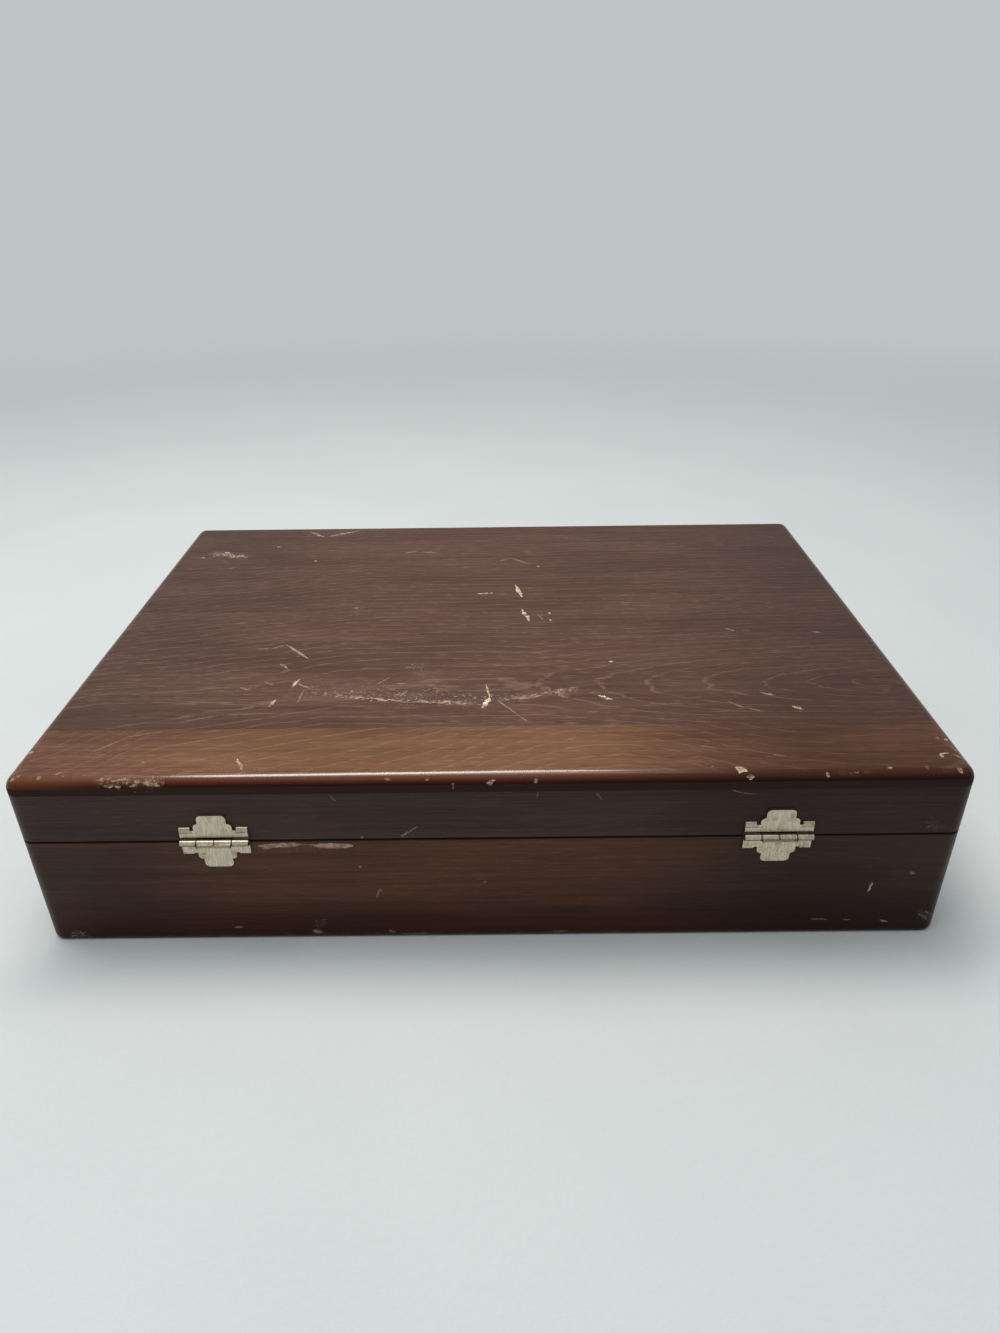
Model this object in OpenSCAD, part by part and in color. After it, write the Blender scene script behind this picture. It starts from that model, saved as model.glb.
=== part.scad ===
// Silverware chest: a shallow hinged hardwood case for table flatware.
// The front faces -Y, the hinges are at +Y, and the origin is the middle of the underside.

/* [Case] */
// Width of the chest, left to right
chest_w = 381; // [320:1:460]
// Depth of the chest, front to hinge side
chest_d = 275; // [240:1:340]
// Height of the base, table to seam
base_h = 54; // [46:1:80]
// Height of the lid, seam to top
lid_h = 30; // [28:1:45]
// Gap between the closed lid and the base
seam_gap = 0.3; // [0.2:0.1:0.6]
// Thickness of the mitred walls of base and lid
wall_t = 9.5; // [8.5:0.5:13]
// Rounding of the upright corners
corner_r = 6; // [3:0.5:8]
// Easing of the outer edges along the seam
rim_r = 0.4; // [0.2:0.1:1]

/* [Top and bottom] */
// Thickness of the boards of the top
top_t = 7; // [6:0.5:9]
// Width of the narrow board along the hinges
strip_w = 36; // [20:1:80]
// Rounding of the top's outer edge
top_r = 5.5; // [2:0.5:6]
// Rounding of the bottom's outer edge
foot_r = 2.2; // [1:0.2:3]
// Thickness of the plywood bottom
bottom_t = 4.8; // [3:0.2:7]
// Width of the rebate that takes the bottom
rebate_w = 5; // [3:0.5:6]

/* [Lining] */
// Thickness of the flannel on card along the walls
lining_t = 1.5; // [1:0.1:2.5]
// Thickness of the flannel on card on the floor
floor_lining_t = 1.5; // [1:0.1:2.5]
// Thickness of the soft lining under the top
lid_pad_t = 3; // [2:0.5:4]
// Distance that the linings stop short of the seam
lining_setback = 1.2; // [0.5:0.1:3]

/* [Flatware racks in the base] */
// Number of slots for forks and spoons
fork_slots = 8; // [4:1:9]
// Width of a fork or spoon slot
fork_slot_w = 26; // [18:1:30]
// Depth of a fork or spoon slot
fork_slot_depth = 20; // [10:1:24]
// Height of the rack bars
fork_bar_h = 30; // [26:1:36]
// Thickness of the rack bars
fork_bar_t = 12; // [8:1:16]
// Distance of each rack bar from the end of its compartment
fork_bar_inset = 38; // [20:1:60]
// Inside width of the compartment for serving pieces
serving_w = 46; // [30:1:60]
// Thickness of the partition
partition_t = 6; // [4:0.5:9]
// Height of the partition
partition_h = 38; // [30:1:40]

/* [Knife rack in the lid] */
// Number of knife slots
knife_slots = 12; // [6:1:14]
// Width of a knife slot
knife_slot_w = 8; // [6:0.5:10]
// Depth of a knife slot
knife_slot_depth = 11; // [6:0.5:12]
// Height of the knife bars
knife_bar_h = 15; // [14:0.5:16]
// Thickness of the knife bars
knife_bar_t = 12; // [8:1:16]
// Distance of the handle bar from the hinge-side lining
handle_bar_inset = 58; // [30:1:90]
// Distance of the blade bar from the front lining
blade_bar_inset = 44; // [30:1:80]
// Rounding of the bars' edges
bar_edge_r = 2.5; // [1:0.5:3]

/* [Hinges] */
// Middle of the right hinge from the chest's right end
hinge_in_right = 80; // [50:1:110]
// Middle of the left hinge from the chest's left end
hinge_in_left = 75; // [50:1:110]
// Length of the hinge barrel
barrel_len = 27.4; // [24:0.2:34]
// Radius of the hinge barrel
barrel_r = 1.55; // [1.4:0.05:1.8]
// Radius of the hinge pin
pin_r = 0.75; // [0.6:0.05:0.9]
// Height of the pin above the seam's lower edge
pin_rise = 0.7; // [0.5:0.1:1.2]
// Thickness of the stamped leaves
leaf_t = 1; // [0.8:0.1:1.2]
// Reach of a leaf's lobe from the pin
leaf_reach = 13; // [12:0.5:16]
// Reach of a leaf's wings from the pin
wing_reach = 5.6; // [5:0.2:6.5]
// Width of the lobe at its shoulder
shoulder_w = 15.5; // [14:0.5:18]
// Reach of the shoulder from the pin
shoulder_reach = 8.9; // [8.2:0.1:10]
// Width of the lobe at its end
tip_w = 11.6; // [9:0.2:13]
// Rounding of the lobe's shoulders
shoulder_r = 1.8; // [1:0.1:2.4]
// Rounding of the lobe's end
tip_r = 1.9; // [1:0.1:3]
// Length of each end knuckle
end_knuckle = 6.5; // [5.5:0.1:8]
// Slit between the two middle knuckles
knuckle_slit = 0.5; // [0.3:0.1:1]
// Width of the prongs that hold the leaves in the wood
prong_w = 4.4; // [3:0.2:6]
// Length of the prongs inside the wood
prong_l = 7; // [4:0.5:8]
// Angle at which the leaves stop the lid
stop_angle = 100; // [92:1:110]

/* [Clearances] */
// Play of the bottom panel in its rebate
panel_play = 0.2; // [0.1:0.1:0.5]
// Play of the racks and partition between the linings
rack_play = 0.2; // [0.1:0.1:0.5]
// Running clearance of the pin in the lid's knuckles
pin_play = 0.06; // [0.03:0.01:0.1]
// Clearance of the pin in the base's knuckles
pin_grip = 0.02; // [0.01:0.01:0.03]
// End play between knuckles
knuckle_play = 0.2; // [0.1:0.05:0.3]
// Clearance between the barrel and the wood behind it
barrel_play = 0.1; // [0.08:0.01:0.2]
// Clearance of a leaf's edge from the other leaf's knuckles
leaf_play = 0.35; // [0.2:0.05:0.5]
// Clearance left at the lid's stop
stop_play = 0.1; // [0.05:0.01:0.2]
// Play of a prong in its slot
prong_play = 0.1; // [0.05:0.01:0.2]

/* [Hidden] */
$fn = 64;

// Overshoot of every cutting solid past the face that it cuts
cut = 1;

// Least straight length kept beside a rounding
straight = 0.2;

// Levels
chest_h = base_h + seam_gap + lid_h;
lid_z = base_h + seam_gap;
top_z = chest_h - top_t;
floor_z = bottom_t + floor_lining_t;
pad_z = top_z - lid_pad_t;

// The case's inside, between bare walls and between linings
inner_w = chest_w - 2 * wall_t;
inner_d = chest_d - 2 * wall_t;
lined_w = inner_w - 2 * lining_t;
lined_d = inner_d - 2 * lining_t;

// Racks
partition_y = -lined_d / 2 + serving_w;
front_bar_y = partition_y + partition_t + fork_bar_inset;
rear_bar_y = lined_d / 2 - fork_bar_inset - fork_bar_t;
blade_bar_y = -lined_d / 2 + blade_bar_inset;
handle_bar_y = lined_d / 2 - handle_bar_inset - knife_bar_t;
bar_len = lined_w - 2 * rack_play;

// Hinge geometry, seen from the pin
pin_out = barrel_r + barrel_play;
pin_y = chest_d / 2 + pin_out;
pin_z = base_h + pin_rise;
right_hinge_x = chest_w / 2 - hinge_in_right;
left_hinge_x = -chest_w / 2 + hinge_in_left;
leaf_face = -pin_out + leaf_t;
edge_reach = barrel_r + leaf_play;
web_inset = 0.05;
web_back = -barrel_r + web_inset;
fold_r = leaf_t;
fold_step = 1.2;
notch_w = 1.3;
notch_depth = 1;
lip_t = 0.8;
lip_overlap = 0.7;
lip_reach = edge_reach + lip_overlap;
lip_cover = 0.3;
lip_root = pin_r + lip_cover;
mid_knuckle = (barrel_len - 2 * end_knuckle - 2 * knuckle_play - knuckle_slit) / 2;
prong_x = barrel_len / 2 - prong_w / 2;
prong_z = wing_reach + fold_step - leaf_t;

// Finishes
walnut = [0.27, 0.17, 0.14];
walnut_top = [0.40, 0.29, 0.26];
walnut_strip = [0.47, 0.36, 0.28];
plywood = [0.55, 0.42, 0.28];
flannel = [0.36, 0.24, 0.17];
nickel = [0.60, 0.58, 0.52];

// Plan of one mitred side, along -Y, of a frame w by d
module mitred_side(w, d) {
    polygon([
        [-w / 2, -d / 2],
        [w / 2, -d / 2],
        [w / 2 - wall_t, -d / 2 + wall_t],
        [-w / 2 + wall_t, -d / 2 + wall_t]
    ]);
}

// Half section of a slab whose outer edges are rounded, above and below
module eased_section(half_w, h, top_edge_r, low_edge_r) {
    translate([0, low_edge_r])
        square([half_w, h - top_edge_r - low_edge_r]);
    square([half_w - max(top_edge_r, low_edge_r), h]);
    square([half_w - low_edge_r, h - top_edge_r]);
    translate([half_w - top_edge_r, h - top_edge_r])
        quarter_disc(top_edge_r);
    translate([half_w - low_edge_r, low_edge_r])
        mirror([0, 1])
            quarter_disc(low_edge_r);
}

module quarter_disc(r) {
    if (r > 0)
        intersection() {
            circle(r = r);
            square(r);
        }
}

// Slab with round upright corners and rounded outer edges
module eased_slab(w, d, h, top_edge_r, low_edge_r) {
    top_r = min(top_edge_r, corner_r - straight, h - low_edge_r - straight);
    low_r = min(low_edge_r, corner_r - straight);
    for (side = [0, 1])
        mirror([side, 0, 0])
            translate([0, d / 2 - corner_r, 0])
                rotate([90, 0, 0])
                    linear_extrude(d - 2 * corner_r)
                        eased_section(w / 2, h, top_r, low_r);
    for (side = [0, 1])
        mirror([0, side, 0])
            translate([-w / 2 + corner_r, 0, 0])
                rotate([90, 0, 90])
                    linear_extrude(w - 2 * corner_r)
                        eased_section(d / 2, h, top_r, low_r);
    for (turn = [[0, 0], [1, 0], [0, 1], [1, 1]])
        mirror([turn[0], 0, 0])
            mirror([0, turn[1], 0])
                translate([w / 2 - corner_r, d / 2 - corner_r, 0])
                    rotate_extrude(angle = 90)
                        eased_section(corner_r, h, top_r, low_r);
}

// The base's block before it is cut into walls, rounded at its foot and eased at its rim
module base_block() {
    translate([0, 0, base_h])
        mirror([0, 0, 1])
            eased_slab(chest_w, chest_d, base_h, foot_r, rim_r);
}

// Rebate for the bottom panel, cut from the walls
module bottom_rebate() {
    w = inner_w + 2 * rebate_w;
    d = inner_d + 2 * rebate_w;
    translate([-w / 2, -d / 2, -cut])
        cube([w, d, bottom_t + cut]);
}

// Slots for the prongs of both hinges; up is 1 for the lid and -1 for the base
module prong_slots(up) {
    slot_h = leaf_t + 2 * prong_play;
    slot_w = prong_w + 2 * prong_play;
    for (hinge_x = [left_hinge_x, right_hinge_x])
        for (side = [-1, 1])
            translate([hinge_x + side * prong_x, chest_d / 2, pin_z])
                scale_z(up)
                    translate([-slot_w / 2, -prong_l - prong_play, prong_z - prong_play])
                        cube([slot_w, prong_l + prong_play + cut, slot_h]);
}

// Child as it is for the lid, upside down for the base
module scale_z(up) {
    if (up > 0)
        children();
    else
        mirror([0, 0, 1])
            children();
}

// Child cut down to one mitred side of a frame, from z up: turn is 0 for the front, 90 for an end
module cut_to_side(turn, w, d, z, h) {
    intersection() {
        children();
        translate([0, 0, z])
            rotate([0, 0, turn])
                linear_extrude(h)
                    mitred_side(w, d);
    }
}

// One wall of the base
module base_wall(turn, w, d) {
    color(walnut)
        difference() {
            cut_to_side(turn, w, d, 0, base_h)
                base_block();
            bottom_rebate();
            prong_slots(-1);
        }
}

module base_front_wall() { base_wall(0, chest_w, chest_d); }
module base_back_wall() { base_wall(180, chest_w, chest_d); }
module base_left_wall() { base_wall(-90, chest_d, chest_w); }
module base_right_wall() { base_wall(90, chest_d, chest_w); }

// Plywood panel flush with the walls' undersides
module bottom_panel() {
    w = inner_w + 2 * (rebate_w - panel_play);
    d = inner_d + 2 * (rebate_w - panel_play);
    color(plywood)
        translate([-w / 2, -d / 2, 0])
            cube([w, d, bottom_t]);
}

// One rail of the lid's frame, between the seam and the boards of the top
module lid_rail(turn, w, d) {
    h = top_z - lid_z;
    color(walnut)
        difference() {
            cut_to_side(turn, w, d, lid_z, h)
                translate([0, 0, lid_z])
                    eased_slab(chest_w, chest_d, h, 0, rim_r);
            prong_slots(1);
        }
}

module lid_front_rail() { lid_rail(0, chest_w, chest_d); }
module lid_back_rail() { lid_rail(180, chest_w, chest_d); }
module lid_left_rail() { lid_rail(-90, chest_d, chest_w); }
module lid_right_rail() { lid_rail(90, chest_d, chest_w); }

// Part of the top between two distances from the front, as one board
module top_board(from_y, to_y) {
    intersection() {
        translate([0, 0, top_z])
            eased_slab(chest_w, chest_d, top_t, top_r, 0);
        translate([-chest_w / 2 - cut, from_y, top_z - cut])
            cube([chest_w + 2 * cut, to_y - from_y, top_t + 2 * cut]);
    }
}

module lid_top_board() {
    color(walnut_top)
        top_board(-chest_d / 2 - cut, chest_d / 2 - strip_w);
}

module lid_top_strip() {
    color(walnut_strip)
        top_board(chest_d / 2 - strip_w, chest_d / 2 + cut);
}

// Flannel on card, laid flat over the whole inside
module flat_lining(z, t) {
    color(flannel)
        translate([-inner_w / 2, -inner_d / 2, z])
            cube([inner_w, inner_d, t]);
}

module floor_lining() { flat_lining(bottom_t, floor_lining_t); }
module lid_pad() { flat_lining(pad_z, lid_pad_t); }

// Flannel on card along the front (side -1) or back (side 1)
module long_lining(side, low_z, high_z) {
    color(flannel)
        translate([-inner_w / 2, side * (inner_d - lining_t) / 2 - lining_t / 2, low_z])
            cube([inner_w, lining_t, high_z - low_z]);
}

// Flannel on card along the left end (side -1) or right end (side 1)
module end_lining(side, low_z, high_z) {
    color(flannel)
        translate([side * (inner_w - lining_t) / 2 - lining_t / 2, -lined_d / 2, low_z])
            cube([lining_t, lined_d, high_z - low_z]);
}

module base_front_lining() { long_lining(-1, floor_z, base_h - lining_setback); }
module base_back_lining() { long_lining(1, floor_z, base_h - lining_setback); }
module base_left_lining() { end_lining(-1, floor_z, base_h - lining_setback); }
module base_right_lining() { end_lining(1, floor_z, base_h - lining_setback); }
module lid_front_lining() { long_lining(-1, lid_z + lining_setback, pad_z); }
module lid_back_lining() { long_lining(1, lid_z + lining_setback, pad_z); }
module lid_left_lining() { end_lining(-1, lid_z + lining_setback, pad_z); }
module lid_right_lining() { end_lining(1, lid_z + lining_setback, pad_z); }

// Outline of a slotted bar lying along x, its slots open at the top with eased mouths
module comb_outline(len, h, slots, slot_w, slot_depth) {
    pitch = len / slots;
    r = min(bar_edge_r, (pitch - slot_w) / 2 - straight);
    difference() {
        translate([-len / 2, 0])
            square([len, h]);
        for (i = [0 : slots - 1])
            translate([(i + 0.5 - slots / 2) * pitch, 0])
                slot_outline(slot_w, h, slot_depth, r);
    }
}

// One slot, reaching past the bar's top, with its mouth's corners eased
module slot_outline(w, h, depth, r) {
    translate([-w / 2, h - depth])
        square([w, depth + cut]);
    for (side = [0, 1])
        mirror([side, 0])
            translate([w / 2, h - r])
                difference() {
                    translate([-cut, 0])
                        square([r + cut, r + cut]);
                    translate([r, 0])
                        circle(r = r);
                }
}

// Upright strip with round shoulders
module shouldered_outline(w, h, r) {
    translate([-w / 2, 0])
        square([w, h - r]);
    translate([-w / 2 + r, 0])
        square([w - 2 * r, h]);
    for (side = [-1, 1])
        translate([side * (w / 2 - r), h - r])
            circle(r = r);
}

// Slotted bar covered in flannel, standing on z = 0 with its front face on y = 0
module slotted_bar(len, t, h, slots, slot_w, slot_depth) {
    color(flannel)
        translate([0, t, 0])
            rotate([90, 0, 0])
                linear_extrude(t)
                    comb_outline(len, h, slots, slot_w, slot_depth);
}

module fork_bar(y) {
    translate([0, y, floor_z])
        slotted_bar(bar_len, fork_bar_t, fork_bar_h, fork_slots, fork_slot_w, fork_slot_depth);
}

module front_rack_bar() { fork_bar(front_bar_y); }
module rear_rack_bar() { fork_bar(rear_bar_y); }

// Partition between the forks and spoons and the serving pieces
module serving_partition() {
    r = min(bar_edge_r, partition_t / 2 - straight / 2);
    color(flannel)
        translate([-bar_len / 2, partition_y, floor_z])
            rotate([90, 0, 90])
                linear_extrude(bar_len)
                    translate([partition_t / 2, 0])
                        shouldered_outline(partition_t, partition_h, r);
}

// Knife bar hanging from the lid's lining
module knife_bar(y) {
    translate([0, y, pad_z])
        mirror([0, 0, 1])
            slotted_bar(bar_len, knife_bar_t, knife_bar_h, knife_slots, knife_slot_w,
                        knife_slot_depth);
}

module knife_handle_bar() { knife_bar(handle_bar_y); }
module knife_blade_bar() { knife_bar(blade_bar_y); }

// Outline of a stamped leaf above the pin: wings, stepped shoulders and a round-cornered tip
module leaf_outline() {
    translate([-barrel_len / 2, edge_reach])
        square([barrel_len, wing_reach - edge_reach]);
    lobe_outline(shoulder_w, shoulder_reach, shoulder_r);
    lobe_outline(tip_w, leaf_reach, tip_r);
}

// One tier of the leaf's lobe
module lobe_outline(w, reach, r) {
    translate([0, edge_reach])
        shouldered_outline(w, reach - edge_reach, r);
}

// Prong folded out of a wing's edge into the wood
module prong() {
    translate([-prong_w / 2, leaf_face - fold_r, wing_reach - cut])
        cube([prong_w, fold_r, fold_step - fold_r + cut]);
    translate([-prong_w / 2, leaf_face - fold_r, wing_reach + fold_step - fold_r])
        rotate([90, 0, 90])
            linear_extrude(prong_w)
                intersection() {
                    circle(r = fold_r);
                    square(fold_r);
                }
    translate([-prong_w / 2, -pin_out - prong_l, prong_z])
        cube([prong_w, prong_l + pin_out + leaf_face - fold_r, leaf_t]);
}

// Knuckle from x along the pin, with the web that joins it to its leaf
module knuckle(x, len) {
    translate([x, 0, 0])
        rotate([0, 90, 0])
            cylinder(r = barrel_r, h = len);
    translate([x, web_back, 0])
        cube([len, leaf_face - web_back, edge_reach + cut]);
}

// Lip of a base knuckle, on which the lid's leaf comes to rest
module stop_lip(x, len) {
    translate([x, 0, 0])
        rotate([90 - stop_angle, 0, 0])
            translate([0, lip_root, -leaf_face - stop_play - lip_t])
                cube([len, lip_reach - lip_root, lip_t]);
}

// Bore for the pin, along the whole barrel
module pin_bore(r) {
    translate([-barrel_len / 2 - cut, 0, 0])
        rotate([0, 90, 0])
            cylinder(r = r, h = barrel_len + 2 * cut);
}

// Leaf without its knuckles, seen from the pin and above it
module leaf_plate() {
    translate([0, leaf_face, 0])
        rotate([90, 0, 0])
            linear_extrude(leaf_t)
                leaf_outline();
    for (side = [-1, 1])
        translate([side * prong_x, 0, 0])
            prong();
}

// Leaf of the lid, with the two end knuckles
module lid_leaf(hinge_x) {
    color(nickel)
        translate([hinge_x, pin_y, pin_z])
            difference() {
                union() {
                    leaf_plate();
                    for (side = [0, 1])
                        mirror([side, 0, 0])
                            knuckle(barrel_len / 2 - end_knuckle, end_knuckle);
                }
                pin_bore(pin_r + pin_play);
            }
}

// Leaf of the base, with the split middle knuckle and its stop lips
module base_leaf(hinge_x) {
    notch_x = barrel_len / 2 - end_knuckle - knuckle_play / 2 - notch_w / 2;
    color(nickel)
        translate([hinge_x, pin_y, pin_z])
            difference() {
                union() {
                    mirror([0, 0, 1])
                        difference() {
                            leaf_plate();
                            for (side = [-1, 1])
                                translate([side * notch_x - notch_w / 2, -pin_out - cut, 0])
                                    cube([notch_w, leaf_t + 2 * cut, edge_reach + notch_depth]);
                        }
                    for (side = [0, 1])
                        mirror([side, 0, 0]) {
                            mirror([0, 0, 1])
                                knuckle(knuckle_slit / 2, mid_knuckle);
                            stop_lip(knuckle_slit / 2, mid_knuckle);
                        }
                }
                pin_bore(pin_r + pin_grip);
            }
}

// Steel pin through all four knuckles
module hinge_pin(hinge_x) {
    color(nickel)
        translate([hinge_x - barrel_len / 2, pin_y, pin_z])
            rotate([0, 90, 0])
                cylinder(r = pin_r, h = barrel_len);
}

module left_hinge_lid_leaf() { lid_leaf(left_hinge_x); }
module left_hinge_base_leaf() { base_leaf(left_hinge_x); }
module left_hinge_pin() { hinge_pin(left_hinge_x); }
module right_hinge_lid_leaf() { lid_leaf(right_hinge_x); }
module right_hinge_base_leaf() { base_leaf(right_hinge_x); }
module right_hinge_pin() { hinge_pin(right_hinge_x); }

base_front_wall();
base_back_wall();
base_left_wall();
base_right_wall();
bottom_panel();
floor_lining();
base_front_lining();
base_back_lining();
base_left_lining();
base_right_lining();
serving_partition();
front_rack_bar();
rear_rack_bar();
lid_front_rail();
lid_back_rail();
lid_left_rail();
lid_right_rail();
lid_top_board();
lid_top_strip();
lid_pad();
lid_front_lining();
lid_back_lining();
lid_left_lining();
lid_right_lining();
knife_handle_bar();
knife_blade_bar();
left_hinge_lid_leaf();
left_hinge_base_leaf();
left_hinge_pin();
right_hinge_lid_leaf();
right_hinge_base_leaf();
right_hinge_pin();
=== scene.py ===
import math

import bpy
from mathutils import Quaternion, Matrix, Vector, geometry, noise


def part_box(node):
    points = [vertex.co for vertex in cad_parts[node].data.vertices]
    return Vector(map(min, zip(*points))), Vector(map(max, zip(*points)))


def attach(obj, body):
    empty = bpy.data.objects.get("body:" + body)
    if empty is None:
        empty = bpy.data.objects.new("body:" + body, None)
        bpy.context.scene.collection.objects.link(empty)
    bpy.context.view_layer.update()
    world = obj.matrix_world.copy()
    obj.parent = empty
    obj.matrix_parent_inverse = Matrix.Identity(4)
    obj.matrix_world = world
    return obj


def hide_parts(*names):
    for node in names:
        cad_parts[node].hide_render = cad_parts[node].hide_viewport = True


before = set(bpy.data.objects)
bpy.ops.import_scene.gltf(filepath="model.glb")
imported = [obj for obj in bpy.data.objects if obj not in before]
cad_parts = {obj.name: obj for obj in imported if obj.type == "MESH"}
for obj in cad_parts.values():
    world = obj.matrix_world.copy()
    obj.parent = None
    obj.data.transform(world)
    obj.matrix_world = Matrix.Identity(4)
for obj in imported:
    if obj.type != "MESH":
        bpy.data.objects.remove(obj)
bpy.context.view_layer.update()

MM = 0.001

# The case over its walls, and the radius of its upright corners and of the top's edge
CASE_W, CASE_D = 0.381, 0.275
CORNER_R, EDGE_R = 6 * MM, 5.5 * MM

# Heights of the seam and of the top's boards, and the place of the joint between these
BASE_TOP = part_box("base_back_wall")[1][2]
LID_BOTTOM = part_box("lid_back_rail")[0][2]
TOP_LOW, TOP_HIGH = (corner[2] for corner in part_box("lid_top_board"))
JOINT_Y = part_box("lid_top_strip")[0][1]

# Name under which the top's meshes carry their marks
MARKS = "marks"


# ------------------------ node trees

class Graph:
    """A node tree, with one short method for each kind of node that the materials use."""

    def __init__(self, tree):
        self.tree = tree

    def add(self, kind, *inputs, **settings):
        """A node of that kind, with its settings made and its first inputs linked or set."""
        made = self.tree.nodes.new(kind)
        for name, value in settings.items():
            setattr(made, name, value)
        for socket, value in zip(made.inputs, inputs):
            self.put(socket, value)
        return made

    def put(self, socket, value):
        """Link or set one input."""
        if isinstance(value, bpy.types.NodeSocket):
            self.tree.links.new(value, socket)
        elif value is not None:
            socket.default_value = value

    def fill(self, node, **values):
        """Link or set inputs by name, with _ for each space in it."""
        for name, value in values.items():
            self.put(node.inputs[name.replace("_", " ")], value)

    def math(self, operation, a, b=None, c=None, clamp=False):
        return self.add("ShaderNodeMath", a, b, c, operation=operation, use_clamp=clamp).outputs[0]

    def minus(self, a, b):
        return self.math("SUBTRACT", a, b)

    def larger(self, a, b):
        return self.math("MAXIMUM", a, b)

    def size(self, a):
        """A number without its sign."""
        return self.math("ABSOLUTE", a)

    def mul_add(self, value, factor, added):
        """value * factor + added"""
        return self.math("MULTIPLY_ADD", value, factor, added)

    def times(self, *factors):
        product = factors[0]
        for factor in factors[1:]:
            product = self.math("MULTIPLY", product, factor)
        return product

    def vector(self, operation, a, b=None):
        made = self.add("ShaderNodeVectorMath", a, b, operation=operation)
        is_number = operation in ("LENGTH", "DISTANCE", "DOT_PRODUCT")
        return made.outputs["Value" if is_number else "Vector"]

    def split(self, vector):
        return self.add("ShaderNodeSeparateXYZ", vector).outputs

    def join(self, x, y, z):
        return self.add("ShaderNodeCombineXYZ", x, y, z).outputs[0]

    def noise(self, vector, scale, detail=3.0, roughness=0.55, output="Fac"):
        made = self.add("ShaderNodeTexNoise")
        self.fill(made, Vector=vector, Scale=scale, Detail=detail, Roughness=roughness)
        return made.outputs[output]

    def ramp(self, value, low, high, to_low=0.0, to_high=1.0):
        """Value carried smoothly from low..high to to_low..to_high, held at both ends."""
        made = self.add("ShaderNodeMapRange", value, low, high, to_low, to_high,
                        interpolation_type="SMOOTHSTEP", clamp=True)
        return made.outputs[0]

    def band(self, value, start, full, end, gone):
        """1 from full to end, falling to 0 at start and at gone."""
        return self.times(self.ramp(value, start, full), self.ramp(value, gone, end))

    def mix(self, share, a, b, blend="MIX"):
        made = self.add("ShaderNodeMix", data_type="RGBA", blend_type=blend)
        self.fill(made, Factor=share)
        colours = [socket for socket in made.inputs if socket.type == "RGBA"]
        self.put(colours[0], rgba(a))
        self.put(colours[1], rgba(b))
        return next(socket for socket in made.outputs if socket.type == "RGBA")

    def blend(self, share, a, b):
        """A number that goes from a to b."""
        return self.add("ShaderNodeMix", share, None, a, b, data_type="FLOAT").outputs[0]

    def bump(self, height, distance, strength):
        made = self.add("ShaderNodeBump")
        self.fill(made, Strength=strength, Distance=distance, Height=height)
        return made.outputs[0]


def rgba(colour):
    return (*colour, 1.0) if isinstance(colour, tuple) and len(colour) == 3 else colour


def new_material(name):
    """A material with a Principled shader, as (material, graph, shader, object coordinates)."""
    material = bpy.data.materials.new(name)
    material.use_nodes = True
    graph = Graph(material.node_tree)
    shader = material.node_tree.nodes["Principled BSDF"]
    place = graph.add("ShaderNodeTexCoord").outputs["Object"]
    return material, graph, shader, place


# ------------------------ camera and light

def add_object(name, data):
    made = bpy.data.objects.new(name, data)
    bpy.context.scene.collection.objects.link(made)
    return made


def fitted_camera():
    """The camera that took the view: its place, pitch, turn and roll are fitted to the chest's
    outline."""
    place = Vector((-0.0062, 0.4217, 0.2938))
    pitch, turn, roll = (math.radians(a) for a in (29.43, -0.265, 0.768))
    focal_px, long_side_px, sensor_mm = 907.6, 1333, 36.0
    ahead = Vector((-math.sin(turn) * math.cos(pitch), -math.cos(turn) * math.cos(pitch),
                    -math.sin(pitch)))
    level = Vector((-math.cos(turn), math.sin(turn), 0.0))
    down = ahead.cross(level)
    right = level * math.cos(roll) + down * math.sin(roll)
    up = level * math.sin(roll) - down * math.cos(roll)
    camera = add_object("camera", bpy.data.cameras.new("camera"))
    camera.matrix_world = Matrix((right, up, -ahead)).transposed().to_4x4()
    camera.location = place
    camera.data.sensor_width = sensor_mm
    camera.data.lens = focal_px * sensor_mm / long_side_px
    camera.data.clip_start = 0.01
    bpy.context.scene.camera = camera


def area_light(name, place, aim, size, power, colour, turn=0.0):
    """A rectangular lamp that looks at aim, turned in its own plane."""
    lamp = bpy.data.lights.new(name, "AREA")
    lamp.shape = "RECTANGLE"
    lamp.size, lamp.size_y = size
    lamp.energy = power
    lamp.color = colour
    made = add_object(name, lamp)
    made.location = place
    look = (Vector(aim) - Vector(place)).to_track_quat("-Z", "Y")
    made.rotation_euler = (look @ Quaternion((0, 0, 1), turn)).to_euler()


BACKDROP = (0.52, 0.55, 0.55)


def studio():
    """Light from all round: stronger on the chest's front side, dim on its hinge side, brightest
    overhead. The camera sees the plain backdrop instead, and so do metal and lacquer."""
    world = bpy.data.worlds.new("studio")
    bpy.context.scene.world = world
    world.use_nodes = True
    graph = Graph(world.node_tree)
    ray = graph.add("ShaderNodeLightPath").outputs
    _, y, z = graph.split(graph.add("ShaderNodeTexCoord").outputs["Generated"])
    hinge_side = graph.ramp(y, -0.25, 0.6)
    around = graph.mix(hinge_side, (0.25, 0.26, 0.26), (0.055, 0.053, 0.052))
    overhead = graph.ramp(z, 0.35, 0.95)
    lit = graph.mix(overhead, around, (0.43, 0.45, 0.46))
    seen = graph.larger(ray["Is Camera Ray"], ray["Is Glossy Ray"])
    shown = graph.mix(seen, lit, BACKDROP)
    graph.fill(world.node_tree.nodes["Background"], Color=shown, Strength=1.0)


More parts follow.
